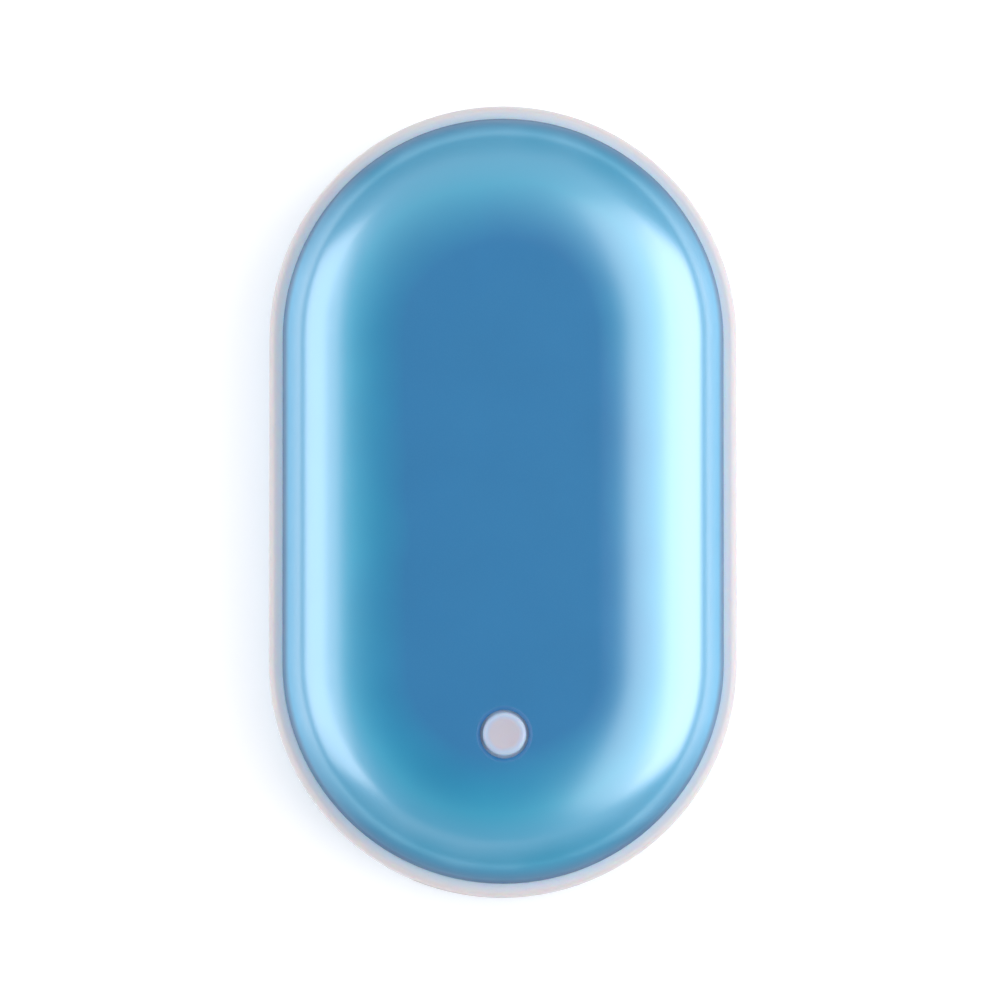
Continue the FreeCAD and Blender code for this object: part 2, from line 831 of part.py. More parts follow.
def make_heater_leads():
    left = WAYS[0]
    front = []
    for step in range(LEADS):
        x = f"({left}) * (lead_x + {step} * lead_pitch)"
        film = film_level(x, "button_y", "lead_diameter")
        front.append(front_lead(left, x, f"front_ledge + {film} - bond_line"))
    tubes("front_heater_leads", front, "lead_diameter")
    film = film_level("lead_x", "button_y", "lead_diameter")
    start = f"dome_depth - ({film}) + bond_line"
    back = [
        ("lead_x", "button_y", start),
        ("lead_x", "button_y", f"{start} + lead_drop"),
        ("back_lead_x", "back_lead_y", f"{start} + back_lead_rise"),
        ("back_lead_x", "back_lead_y", "board_bottom"),
    ]
    tubes("back_heater_leads", both_sides(back), "lead_diameter")


def make_thermistor():
    radius = "thermistor_diameter / 2"
    film = film_level("thermistor_x", "button_y", "0")
    middle = f"front_ledge + {film} - {radius} - bond_line"
    bead = doc.addObject("Part::Sphere", "thermistor")
    bind(bead, Radius=radius)
    place(bead, "thermistor_x", "button_y", middle)
    keep(bead, "thermistor")
    right = WAYS[1]
    leads = []
    for way in WAYS:
        x = f"thermistor_x + ({way}) * thermistor_lead_spread / 2"
        leads.append(front_lead(right, x, f"{middle} - {radius}"))
    tubes("thermistor_leads", leads, "thermistor_lead_diameter")


# Button and switch


def make_button_cap():
    cap = new_body("button_cap")
    head, top = "button_diameter / 2", "body_height + button_proud"
    dish, stem = "(button_diameter / 2 - button_round - dish_margin)", "stem_diameter / 2"
    dish_radius = f"({dish} * {dish} + dish_depth * dish_depth) / (2 * dish_depth)"
    corners = [
        ("0", "stem_bottom"),
        (stem, "stem_bottom"),
        (stem, "flange_bottom"),
        ("flange_radius", "flange_bottom"),
        ("flange_radius", "flange_top"),
        (head, "flange_top"),
        (head, f"{top} - button_round"),
        (f"{head} - button_round", top),
        (dish, top),
        ("0", f"{top} - dish_depth"),
    ]
    arcs = {
        6: (f"{head} - button_round", f"{top} - button_round"),
        8: ("0", f"{top} - dish_depth + {dish_radius}"),
    }
    turn(cap, "Revolution", Outline(corners, arcs))
    place(cap, y="button_y")


def make_switch_housing():
    x, y = about("0", "switch_side"), about("button_y", "switch_side")
    above = "cover_bottom + overrun"
    well = rod("Well", "0", "button_y", "cavity_floor", above, "switch_cavity / 2")
    block = box("Block", x, y, ("deck_level", "cover_bottom"))
    keep(subtract("Base", block, well), "switch_base")
    plate = box("Plate", x, y, ("cover_bottom", "cover_bottom + switch_cover_thickness"))
    hole = rod("Hole", "0", "button_y", "cavity_floor", above, "plunger_diameter / 2 + plunger_fit")
    keep(subtract("Cover", plate, hole), "switch_cover")


def make_switch_plunger():
    plunger = new_body("switch_plunger")
    stem, flange = "plunger_diameter / 2", "plunger_flange / 2"
    flange_low = "cavity_floor + dome_rise + dome_thickness + plunger_fit"
    flange_high = "cover_bottom - plunger_fit"
    corners = [
        ("0", flange_low),
        (flange, flange_low),
        (flange, flange_high),
        (stem, flange_high),
        (stem, "plunger_top"),
        ("0", "plunger_top"),
    ]
    turn(plunger, "Revolution", Outline(corners, {}))
    place(plunger, y="button_y")


def cap_centre(rim, rise):
    """Centre of the arc that rises so far over the cavity's floor inside a rim of that radius."""
    return "0", f"cavity_floor + {rise} - ({rim} * {rim} + {rise} * {rise}) / (2 * {rise})"


def make_switch_dome():
    dome = new_body("switch_dome")
    inner_rim, inner_rise = "(dome_diameter / 2 - dome_thickness)", "dome_rise"
    outer_rim, outer_rise = "(dome_diameter / 2)", "(dome_rise + dome_thickness)"
    corners = [
        ("0", f"cavity_floor + {inner_rise}"),
        (inner_rim, "cavity_floor"),
        (outer_rim, "cavity_floor"),
        ("0", f"cavity_floor + {outer_rise}"),
    ]
    arcs = {0: cap_centre(inner_rim, inner_rise), 2: cap_centre(outer_rim, outer_rise)}
    turn(dome, "Revolution", Outline(corners, arcs))
    place(dome, y="button_y")


def make_switch_legs():
    legs = []
    level = ("deck_level", "deck_level + switch_leg_thickness")
    for way in WAYS:
        x = about(f"({way}) * (switch_side + switch_leg_length) / 2", "switch_leg_length")
        for row in WAYS:
            y = about(f"button_y + ({row}) * (switch_side / 2 - switch_leg_width)", "switch_leg_width")
            legs.append(box("Leg", x, y, level))
    group("switch_legs", legs)


def make_lights():
    lights = []
    for way in WAYS:
        y = f"button_y + ({way}) * (switch_side / 2 + light_gap + light_width / 2)"
        level = ("deck_level", "deck_level + light_height")
        lights.append(box("Light", about("0", "light_length"), about(y, "light_width"), level))
    group("status_lights", lights)


# Battery


def make_battery_cell():
    cell = new_body("battery_cell")
    corner = "tub_corner - tub_wall - cell_gap"
    plan = rounded_rectangle(minus("cell_half"), "cell_near", "cell_half", "cell_far", corner)
    block = add(cell, "cell_bottom", "cell_top", plan)
    doc.recompute()
    rims = [
        f"Edge{at}"
        for at, edge in enumerate(block.Shape.Edges, start=1)
        if edge.BoundBox.ZLength < Part.Precision.confusion()
    ]
    softened = cell.newObject("PartDesign::Fillet", "Fillet")
    softened.Base = (block, rims)
    bind(softened, Radius="cell_edge")


def make_battery_pads():
    across = (minus("cell_half - pad_margin"), "cell_half - pad_margin")
    along = ("cell_near + pad_margin", "cell_far - pad_margin")
    keep(box("Tape", across, along, ("tub_floor", "cell_bottom")), "battery_tape")
    keep(box("Foam", across, along, ("cell_top", "deck_level")), "battery_foam")


def make_battery_board():
    board_y = ("battery_board_near - battery_board_thickness", "battery_board_near")
    half = "tub_half - tub_corner - battery_board_margin"
    board_x = (minus(half), half)
    keep(box("Protection", board_x, board_y, about("cell_middle", "battery_board_height")), "battery_board")
    tabs = []
    for way in WAYS:
        tab_x = about(f"({way}) * tab_spread / 2", "tab_width")
        tab_z = about("cell_middle", "tab_thickness")
        tabs.append(box("Tab", tab_x, ("battery_board_near", "cell_near"), tab_z))
    group("battery_tabs", tabs)


def make_battery_leads():
    start = "battery_board_near - battery_board_thickness"
    landing = f"{start} - 2 * battery_lead_run"
    level = "(cell_middle + board_bottom) / 2"
    for label, way in zip(("battery_lead_negative", "battery_lead_positive"), WAYS):
        x = f"({way}) * battery_lead_spread / 2"
        route = [
            (x, start, level),
            (x, f"{start} - battery_lead_run", level),
            (x, landing, "board_bottom - battery_lead_run / 2"),
            (x, landing, "board_bottom"),
        ]
        tubes(label, [route], "lead_diameter")


# Main board and what is soldered to it


def make_board():
    board = new_body("main_board")
    radius, beyond = "inner_half - board_gap", "max(board_edge; 0 - end_centre) + overrun"
    corners = [
        (minus(radius), minus("end_centre")),
        (radius, minus("end_centre")),
        (radius, beyond),
        (minus(radius), beyond),
    ]
    add(board, "board_bottom", "deck_level", Outline(corners, {0: ("0", minus("end_centre"))}))
    rest = rectangle(minus("half_width"), "board_edge", "half_width", f"{beyond} + overrun")
    for shapes in ([rest], discs(boss_places()[:2], "screw_hole")):
        cut(board, "board_bottom - overrun", "deck_level + overrun", *shapes)


def row_of(count, middle, pitch, size):
    """Spans of that size, evenly spaced about a middle."""
    return [about(f"{middle} + ({2 * step - count + 1}) * {pitch} / 2", size) for step in range(count)]


def under_board(height):
    return f"board_bottom - {height}", "board_bottom"


def make_controller_chip():
    y = "usb_a_back + chip_gap + chip_leg_length + chip_width / 2"
    package_z = ("board_bottom - chip_height", "board_bottom - chip_leg_thickness")
    blocks = [box("Package", about("0", "chip_length"), about(y, "chip_width"), package_z)]
    pitch = f"(chip_length - 2 * chip_end) / {CHIP_LEGS_PER_ROW - 1}"
    for way in WAYS:
        leg_y = about(f"{y} + ({way}) * chip_width / 2", "2 * chip_leg_length")
        for leg_x in row_of(CHIP_LEGS_PER_ROW, "0", pitch, "chip_leg_width"):
            blocks.append(box("ChipLeg", leg_x, leg_y, under_board("chip_leg_thickness")))
    keep(fuse("Chip", *blocks), "controller_chip")


def make_power_inductor():
    side = "inductor_side"
    x = "back_lead_x + lead_diameter / 2 + inductor_gap + inductor_side / 2"
    y = "port_plane + micro_depth + inductor_gap + inductor_side / 2"
    block = box("Ferrite", about(x, side), about(y, side), under_board("inductor_height"))
    slot_z = ("board_bottom - inductor_height - overrun", "board_bottom - inductor_height / 2")
    ring = rod("Winding", x, y, *slot_z, "inductor_core / 2")
    core = rod("Core", x, y, *slot_z, "inductor_core / 2 - inductor_slot")
    keep(subtract("Inductor", block, subtract("Slot", ring, core)), "power_inductor")


def make_small_board_parts():
    row = "board_edge - small_part_row"
    capacitor_y = about(row, "capacitor_width")
    group(
        "board_capacitors",
        [
            box("Capacitor", x, capacitor_y, under_board("capacitor_width"))
            for x in row_of(CAPACITORS, "0", "capacitor_pitch", "capacitor_length")
        ],
    )
    resistor_y = about(row, "resistor_length")
    group(
        "board_resistors",
        [
            box("Resistor", x, resistor_y, under_board("resistor_height"))
            for x in row_of(RESISTORS, "0", "resistor_pitch", "resistor_width")
        ],
    )
    transistor_y = about("lead_landing", "transistor_width")
    transistor_z = ("deck_level", "deck_level + transistor_height")
    group(
        "heater_transistors",
        [
            box("Transistor", x, transistor_y, transistor_z)
            for x in row_of(TRANSISTORS, "0", "transistor_pitch", "transistor_length")
        ],
    )


# Sockets


def make_usb_a():
    x, z = "usb_a_x", ("usb_a_bottom", "board_bottom")
    inner_z = ("usb_a_bottom + usb_a_wall", "board_bottom - usb_a_wall")
    inner_x = about(x, "usb_a_width - 2 * usb_a_wall")
    outer = box("Can", about(x, "usb_a_width"), ("port_plane", "usb_a_back"), z)
    inner_back = "usb_a_back - usb_a_wall"
    mouth = box("Mouth", inner_x, ("port_plane - overrun", inner_back), inner_z)
    keep(subtract("Shell", outer, mouth), "usb_a_shell")

    block_front = f"{inner_back} - usb_a_block"
    block = box("Block", inner_x, (block_front, inner_back), inner_z)
    tongue_top = "board_bottom - usb_a_wall - usb_a_tongue_gap"
    tongue_low = f"{tongue_top} - usb_a_tongue_thickness"
    tongue_x = about(x, "usb_a_width - 2 * (usb_a_wall + usb_a_tongue_side)")
    tip = "port_plane + usb_a_tongue_recess"
    tongue = box("Blade", tongue_x, (tip, inner_back), (tongue_low, tongue_top))
    keep(fuse("Tongue", block, tongue), "usb_a_tongue")

    contacts = []
    for pitch in ("usb_a_outer_pitch", "usb_a_inner_pitch"):
        for way in WAYS:
            contact_x = about(f"{x} + ({way}) * {pitch} / 2", "usb_a_contact_width")
            contact_y = (f"{tip} + usb_a_contact_setback", block_front)
            contact_z = (f"{tongue_low} - usb_a_contact_thickness", tongue_low)
            contacts.append(box("Contact", contact_x, contact_y, contact_z))
    group("usb_a_contacts", contacts)


def socket_section(inset, chamfer):
    """The micro socket's section, with its two lower corners cut off, drawn about its own middle."""
    half, low, high = f"micro_width / 2 - {inset}", f"micro_bottom + {inset}", f"board_bottom - {inset}"
    corners = [
        (f"{chamfer} - ({half})", low),
        (f"{half} - {chamfer}", low),
        (half, f"{low} + {chamfer}"),
        (half, high),
        (minus(half), high),
        (minus(half), f"{low} + {chamfer}"),
    ]
    return Outline(corners, {})


def make_micro_usb():
    shell = new_body("micro_usb_shell")
    outer = new_sketch(shell, "XZ_Plane")
    draw(outer, [socket_section("0", "micro_chamfer")])
    can = feature(shell, "Pad", outer)
    can.Reversed = True
    bind(can, Length="micro_depth")
    inner = new_sketch(shell, "XZ_Plane")
    draw(inner, [socket_section("micro_wall", "micro_inner_chamfer")])
    mouth = feature(shell, "Pocket", inner)
    bind(mouth, Length="micro_depth - micro_wall")
    place(shell, x="micro_x", y="port_plane")

    back = "port_plane + micro_depth - micro_wall"
    block_front = f"{back} - micro_block"
    block_width = "micro_width - 2 * micro_wall - 2 * micro_inner_chamfer"
    low, high = "micro_bottom + micro_wall", "board_bottom - micro_wall"
    block = box("Block", about("micro_x", block_width), (block_front, back), (low, high))
    middle = f"({low} + {high}) / 2"
    tip = "port_plane + micro_tongue_recess"
    tongue_z = about(middle, "micro_tongue_thickness")
    blade = box("Blade", about("micro_x", "micro_tongue_width"), (tip, back), tongue_z)
    keep(fuse("Tongue", block, blade), "micro_usb_tongue")

    contact_y = (f"{tip} + micro_contact_setback", block_front)
    contact_z = (f"{tongue_z[0]} - micro_contact_thickness", tongue_z[0])
    contact_x = row_of(MICRO_CONTACTS, "micro_x", "micro_contact_pitch", "micro_contact_width")
    group("micro_usb_contacts", [box("Contact", x, contact_y, contact_z) for x in contact_x])


def check_pieces():
    """Stops the build where an object failed or a piece has no valid solid."""
    for thing in doc.Objects:
        if {"Invalid", "Error"} & set(thing.State):
            raise RuntimeError(f"{thing.Label} failed: {thing.State}")
    for piece in pieces:
        if piece.Shape.isNull() or not piece.Shape.isValid() or not piece.Shape.Solids:
            raise RuntimeError(f"{piece.Label} has no valid solid")


def write_pieces():
    os.makedirs("parts", exist_ok=True)
    for piece in pieces:
        piece.Shape.exportStep(os.path.join("parts", f"{piece.Label}.step"))


def main():
    fill_sheet()
    make_shells()
    make_front_frame()
    make_back_frame()
    make_frame_screws()
    make_heaters()
    make_heater_leads()
    make_thermistor()
    make_button_cap()
    make_switch_housing()
    make_switch_plunger()
    make_switch_dome()
    make_switch_legs()
    make_lights()
    make_battery_cell()
    make_battery_pads()
    make_battery_board()
    make_battery_leads()
    make_board()
    make_controller_chip()
    make_power_inductor()
    make_small_board_parts()
    make_usb_a()
    make_micro_usb()
    doc.recompute()
    check_pieces()
    write_pieces()


main()
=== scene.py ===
import json
import math

import bpy
from mathutils import Matrix, Vector


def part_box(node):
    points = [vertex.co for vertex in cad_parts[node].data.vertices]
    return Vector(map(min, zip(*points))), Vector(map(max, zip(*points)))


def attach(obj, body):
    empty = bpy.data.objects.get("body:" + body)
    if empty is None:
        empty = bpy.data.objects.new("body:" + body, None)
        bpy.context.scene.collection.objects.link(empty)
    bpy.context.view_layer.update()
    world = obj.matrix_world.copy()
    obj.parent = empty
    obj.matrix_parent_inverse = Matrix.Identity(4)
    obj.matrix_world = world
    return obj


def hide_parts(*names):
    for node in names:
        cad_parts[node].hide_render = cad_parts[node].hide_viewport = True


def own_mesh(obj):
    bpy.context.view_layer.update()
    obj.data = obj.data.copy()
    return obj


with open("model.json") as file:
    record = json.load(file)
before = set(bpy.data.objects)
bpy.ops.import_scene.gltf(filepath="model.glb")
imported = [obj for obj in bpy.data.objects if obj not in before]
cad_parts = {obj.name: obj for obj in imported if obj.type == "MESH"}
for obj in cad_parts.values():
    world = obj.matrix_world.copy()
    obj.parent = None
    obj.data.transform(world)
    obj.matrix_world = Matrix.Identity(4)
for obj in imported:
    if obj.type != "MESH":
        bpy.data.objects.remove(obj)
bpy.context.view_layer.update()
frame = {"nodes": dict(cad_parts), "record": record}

# Units, in metres.
MM = 0.001
MICRON = 0.000001

# The body's sizes and the button's axis, from the frame. The outline runs round a spine along Y.
band_low, band_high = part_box("front_frame")
cap_low, cap_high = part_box("button_cap")
BODY_LENGTH = band_high.y - band_low.y
SHELL_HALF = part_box("front_shell")[1].x
SPINE_HALF = band_high.y - band_high.x
BUTTON_Y = (cap_low.y + cap_high.y) / 2.0

# The photograph: its width in pixels, the body's length in it, and the body's middle.
PICTURE_PIXELS = 1001
BODY_PIXELS = 790.0
BODY_MIDDLE = (502.5, 502.5)

# The camera, and what it aims at.
CAMERA_DISTANCE = 1.4
CAMERA_ELEVATION = math.radians(87.3)
CAMERA_LEAN = math.radians(-1.0)
CAMERA_AIM = Vector((0.0, 0.0, 13.7 * MM))
CAMERA_CLIP = (0.05, 20.0)

# The floor: half its width, and how far it lies below the part.
FLOOR_HALF = 2.5
FLOOR_DROP = 0.1 * MM

# The tent's grey levels, by the cosine between a direction and the middle of the dark hole overhead.
TENT_HOLE = (-0.08, -0.10, 0.992)
TENT_LEVELS = [(0.0, 0.52), (0.35, 0.50), (0.74, 0.53), (0.93, 0.16), (0.985, 0.0)]

# The way that is up for the camera and for the lamps.
UP = Vector((0.0, 1.0, 0.0))

# Where most values of a noise lie, and the cosines of the turn at which an edge begins to show and is full.
NOISE_RANGE = (0.3, 0.7)
EDGE_COSINES = (0.995, 0.90)


def inside(*depths):
    """Reaches from the spine, from depths in millimetres inside the shell's outline, or outside below 0."""
    return tuple(SHELL_HALF - MM * depth for depth in depths)


# Reaches from the spine where a look begins and where it is full.
# Painted glow: from here the crown turns greener, standing in for the cyan glow beside the highlights.
CROWN_REACH = inside(15.0, 8.0)
# Painted sheen: from here the lacquer pales towards the edge.
EDGE_REACH = inside(8.0, 2.5)
# Painted shade and duller gloss on the shoulders of the ends, from here.
DULL_SHADED_REACH = inside(4.5, 1.2)
# Painted shade: a dark band over the lip at the ends.
LIP_REACH = inside(2.0, 0.6)
DULL_REACH = inside(2.0, 0.4)
# Painted shade: a dark band along the joint with the frame.
JOINT_REACH = inside(0.8, 0.3)
# Painted reflection: the frame turns blue beside the shells.
SHELL_REFLECTION_REACH = inside(0.1, -1.2)
# Painted shadow: the floor's glow is least under the body and full just outside it.
PAPER_SHADOW_REACH = inside(9.0, -3.0)

# Distances along Y from the middle where the ends begin to be dulled and darkened by painted shade, and
# where they fully are.
DULL_SHADED_ENDS = (27.0 * MM, 40.0 * MM)

# How far the lacquer's clouds shift the borders of its colours, and the radius that its gloss is eased over.
CLOUD_SHIFT = 5.0 * MM
EASE_RADIUS = 1.4 * MM

# Reaches from the button's axis: where the cap's rim begins and is full, and the same for the eased lacquer.
CAP_RIM = (1.7 * MM, 2.2 * MM)
HOLE_SIDE = (4.2 * MM, 5.6 * MM)

# The stretch of a metal's streaks: along Y, along X and along Z.
LENGTHWISE = (1.0, 0.06, 1.0)
CROSSWISE = (0.06, 1.0, 1.0)
UPRIGHT = (1.0, 1.0, 0.08)


class Shader:
    """A material's nodes, made in code."""

    def __init__(self, name):
        self.material = bpy.data.materials.new(name)
        self.material.use_nodes = True
        self.nodes = self.material.node_tree.nodes
        self.links = self.material.node_tree.links
        self.surface = self.nodes["Principled BSDF"]
        self.place = self.add("ShaderNodeTexCoord").outputs["Object"]

    def add(self, kind, **settings):
        """A new node with these settings."""
        node = self.nodes.new(kind)
        for name, value in settings.items():
            setattr(node, name, value)
        return node

    def join(self, value, socket):
        """Links an output to a socket, or sets a plain value on it."""
        if isinstance(value, bpy.types.NodeSocket):
            self.links.new(value, socket)
        else:
            socket.default_value = value

    def set(self, **values):
        """Joins values to the surface's inputs, whose names have an underscore here for a space."""
        for name, value in values.items():
            self.join(value, self.surface.inputs[name.replace("_", " ")])

    def math(self, operation, *values):
        """The result of a math node."""
        node = self.add("ShaderNodeMath", operation=operation)
        for value, socket in zip(values, node.inputs):
            self.join(value, socket)
        return node.outputs[0]

    def axis(self, name):
        """A point's place along X, Y or Z."""
        axes = self.add("ShaderNodeSeparateXYZ")
        self.join(self.place, axes.inputs[0])
        return axes.outputs[name]

    def distance(self, across, along):
        """The length of the way that goes so far across and so far along."""
        squares = [self.math("POWER", side, 2.0) for side in (across, along)]
        return self.math("SQRT", self.math("ADD", *squares))

    def noise(self, scale, detail=3.0, roughness=0.55, stretch=None):
        """Soft noise, drawn out along an axis whose stretch is below one."""
        place = self.place
        if stretch is not None:
            mapping = self.add("ShaderNodeMapping")
            mapping.inputs["Scale"].default_value = stretch
            self.join(place, mapping.inputs["Vector"])
            place = mapping.outputs["Vector"]
        node = self.add("ShaderNodeTexNoise")
        node.inputs["Scale"].default_value = scale
        node.inputs["Detail"].default_value = detail
        node.inputs["Roughness"].default_value = roughness
        self.join(place, node.inputs["Vector"])
        return node.outputs["Fac"]

    def cells(self, scale):
        """The distance from the middle of the nearest of many scattered cells."""
        node = self.add("ShaderNodeTexVoronoi")
        node.inputs["Scale"].default_value = scale
        self.join(self.place, node.inputs["Vector"])
        return node.outputs["Distance"]

    def mix(self, factor, first, second):
        """The first colour where the factor is nought, and the second where it is one."""
        node = self.add("ShaderNodeMix", data_type="RGBA")
        self.join(factor, node.inputs["Factor"])
        self.join(first, node.inputs["A"])
        self.join(second, node.inputs["B"])
        return node.outputs["Result"]

    def span(self, value, old, new=(0.0, 1.0)):
        """Maps a value from an old range to a new one, and holds it at the ends."""
        node = self.add("ShaderNodeMapRange", clamp=True)
        for item, socket in zip((value, *old, *new), node.inputs):
            self.join(item, socket)
        return node.outputs["Result"]

    def vary(self, noise, new):
        """Spreads a noise over a new range."""
        return self.span(noise, NOISE_RANGE, new)

    def eased(self, radius, samples=8):
        """The normal blended over that radius, which takes creases between CAD faces out of the gloss."""
        bevel = self.add("ShaderNodeBevel", samples=samples)
        self.join(radius, bevel.inputs["Radius"])
        return bevel.outputs["Normal"]

    def edges(self, radius, share=1.0):
        """The share given within that radius of an edge, and nought on the flat."""
        turn = self.add("ShaderNodeVectorMath", operation="DOT_PRODUCT")
        self.join(self.eased(radius, samples=4), turn.inputs[0])
        self.join(self.add("ShaderNodeNewGeometry").outputs["Normal"], turn.inputs[1])
        return self.span(turn.outputs["Value"], EDGE_COSINES, (0.0, share))

    def bump(self, height, distance, strength, under=None):
        """The normal of a relief of that height, over another normal if one is given."""
        node = self.add("ShaderNodeBump")
        node.inputs["Distance"].default_value = distance
        node.inputs["Strength"].default_value = strength
        self.join(height, node.inputs["Height"])
        if under is not None:
            self.join(under, node.inputs["Normal"])
        return node.outputs["Normal"]


def rgb(red, green, blue):
    """A colour given in display values of 0 to 255, as the linear values that shaders use."""
    linear = []
    for value in (red, green, blue):
        share = value / 255.0
        linear.append(share / 12.92 if share <= 0.04045 else ((share + 0.055) / 1.055) ** 2.4)
    return (*linear, 1.0)


def scaled(colour, factor, lift=0.0):
    """A colour times a factor, lifted, and no brighter than white."""
    return (*(min(1.0, factor * value + lift) for value in colour[:3]), 1.0)


def plan_reach(s):
    """How far a point is from the spine, seen from above."""
    beyond = s.math("SUBTRACT", s.math("ABSOLUTE", s.axis("Y")), SPINE_HALF)
    return s.distance(s.axis("X"), s.math("MAXIMUM", beyond, 0.0))


def button_reach(s):
    """How far a point is from the button's axis."""
    return s.distance(s.axis("X"), s.math("SUBTRACT", s.axis("Y"), BUTTON_Y))


def blue_lacquer():
    """Blue lacquer over metal, with fine orange peel and duller ends. Painted light in its colour: a greener
    glow on the crown, a paler sheen towards the edge, darker shade on the ends, the lip and the joint, and
    paler highlights on edges.
    """
    s = Shader("blue_lacquer")
    reach = plan_reach(s)
    cloud = s.noise(scale=55.0, detail=2.0)
    clouded = s.math("MULTIPLY_ADD", s.math("SUBTRACT", cloud, 0.5), CLOUD_SHIFT, reach)
    # The dull ends: lower gloss, and a darker colour that is painted shade.
    end = s.span(s.math("ABSOLUTE", s.axis("Y")), DULL_SHADED_ENDS)
    dull_shaded_ends = s.math("MULTIPLY", end, s.span(clouded, DULL_SHADED_REACH))
    middle = s.mix(s.noise(scale=90.0), rgb(28, 132, 194), rgb(35, 138, 198))
    # A greener crown, a painted cyan glow beside the highlights.
    crown = s.mix(cloud, rgb(21, 170, 214), rgb(30, 175, 218))
    colour = s.mix(s.span(clouded, CROWN_REACH), middle, crown)
    # A paler colour towards the edge, a painted sheen.
    colour = s.mix(s.span(reach, EDGE_REACH, (0.0, 0.8)), colour, rgb(47, 161, 209))
    colour = s.mix(s.math("MULTIPLY", dull_shaded_ends, 0.9), colour, rgb(33, 144, 180))
    flake = s.span(s.cells(scale=5200.0), (0.0, 0.6), (0.08, 0.0))
    colour = s.mix(flake, colour, rgb(48, 166, 218))
    # Painted shade: a dark band along the joint, widening over the lip at the ends.
    lip = s.math("MULTIPLY", end, s.span(reach, LIP_REACH, (0.0, 0.6)))
    joint = s.math("MAXIMUM", s.span(reach, JOINT_REACH, (0.0, 0.75)), lip)
    colour = s.mix(joint, colour, rgb(28, 77, 126))
    # Paler on edges, a painted highlight.
    colour = s.mix(s.edges(0.3 * MM, share=0.25), colour, rgb(110, 165, 205))
    satin = s.vary(s.noise(scale=160.0), (0.36, 0.42))
    scratch = s.span(s.noise(scale=420.0, detail=5.0, stretch=(1.0, 0.05, 1.0)), (0.62, 0.72), (0.0, 0.05))
    undulled = s.span(dull_shaded_ends, (0.0, 1.0), (1.0, 0.15))
    gloss = s.math("MULTIPLY", s.span(reach, DULL_REACH, (1.0, 0.3)), undulled)
    eased = s.eased(s.span(button_reach(s), HOLE_SIDE, (0.0, EASE_RADIUS)))
    peel = s.bump(s.noise(scale=1500.0, detail=2.0), distance=3 * MICRON, strength=0.5, under=eased)
    s.set(Base_Color=colour, Metallic=0.33, Roughness=s.math("ADD", satin, scratch), Specular_IOR_Level=0.2)
    s.set(Coat_Weight=gloss, Coat_IOR=3.0, Coat_Roughness=0.22)
    s.set(Normal=peel, Coat_Normal=eased)
    return s.material


def milky(s, colour, rough, grain, subsurface):
    """Finishes a milky moulded plastic: faint specks, a fine spark-eroded grain, and paler edges."""
    speck = s.span(s.noise(scale=2600.0, detail=1.0), (0.68, 0.74), (0.0, 0.10))
    colour = s.mix(speck, colour, rgb(160, 160, 172))
    colour = s.mix(s.edges(0.4 * MM, share=0.4), colour, rgb(240, 241, 246))
    s.set(Base_Color=colour, Roughness=s.vary(s.noise(scale=240.0), rough))
    s.set(Subsurface_Weight=subsurface, Subsurface_Scale=1.6 * MM)
    s.set(Coat_Weight=0.25, Coat_Roughness=0.2)
    s.set(Normal=s.bump(s.noise(scale=3800.0), distance=grain, strength=0.5))
    return s.material


def pale_frame():
    """Milky plastic with a painted blue reflection of the shells beside them."""
    s = Shader("pale_frame")
    colour = s.mix(s.noise(scale=70.0), rgb(213, 212, 214), rgb(207, 207, 212))
    # A painted reflection of the blue shells on the frame beside them.
    painted_shell_reflection = s.span(plan_reach(s), SHELL_REFLECTION_REACH, (1.0, 0.0))
    colour = s.mix(painted_shell_reflection, colour, rgb(214, 237, 254))
    return milky(s, colour, rough=(0.30, 0.42), grain=8 * MICRON, subsurface=0.45)


def pale_button():
    """Milky plastic, a cooler white on the cap's rounded rim than on its dish."""
    s = Shader("pale_button")
    dish = s.mix(s.noise(scale=700.0, detail=2.0), rgb(187, 183, 193), rgb(181, 181, 195))
    colour = s.mix(s.span(button_reach(s), CAP_RIM), dish, rgb(170, 192, 217))
    return milky(s, colour, rough=(0.30, 0.38), grain=6 * MICRON, subsurface=0.35)


def metal(name, light, dark, brush, rough, edge):
    """Bare or plated metal, brushed or rolled one way, stained in places and brighter on its edges."""
    s = Shader(name)
    streak = s.noise(scale=900.0, detail=5.0, stretch=brush)
    colour = s.mix(streak, light, dark)
    stain = s.span(s.noise(scale=380.0, detail=5.0), (0.52, 0.75), (0.0, 0.35))
    colour = s.mix(stain, colour, scaled(dark, 0.6))
    colour = s.mix(s.edges(edge), colour, scaled(light, 1.15))
    s.set(Base_Color=colour, Metallic=1.0, Roughness=s.vary(streak, rough))
    s.set(Normal=s.bump(streak, distance=10 * MICRON, strength=0.5))
    return s.material


def plain_plastic(name, light, dark, rough, grain):
    """Opaque moulded plastic or resin with a fine grain, faint scuffs and paler edges."""
    s = Shader(name)
    colour = s.mix(s.noise(scale=500.0), light, dark)
    scuff = s.span(s.noise(scale=1300.0, detail=6.0, stretch=(1.0, 0.12, 1.0)), (0.60, 0.72), (0.0, 0.5))
    colour = s.mix(scuff, colour, scaled(light, 1.6, lift=0.01))
    colour = s.mix(s.edges(0.15 * MM, share=0.5), colour, scaled(light, 1.5, lift=0.02))
    s.set(Base_Color=colour, Roughness=s.vary(s.noise(scale=900.0), rough))
    s.set(Normal=s.bump(s.noise(scale=6000.0), distance=grain, strength=0.6))
    return s.material


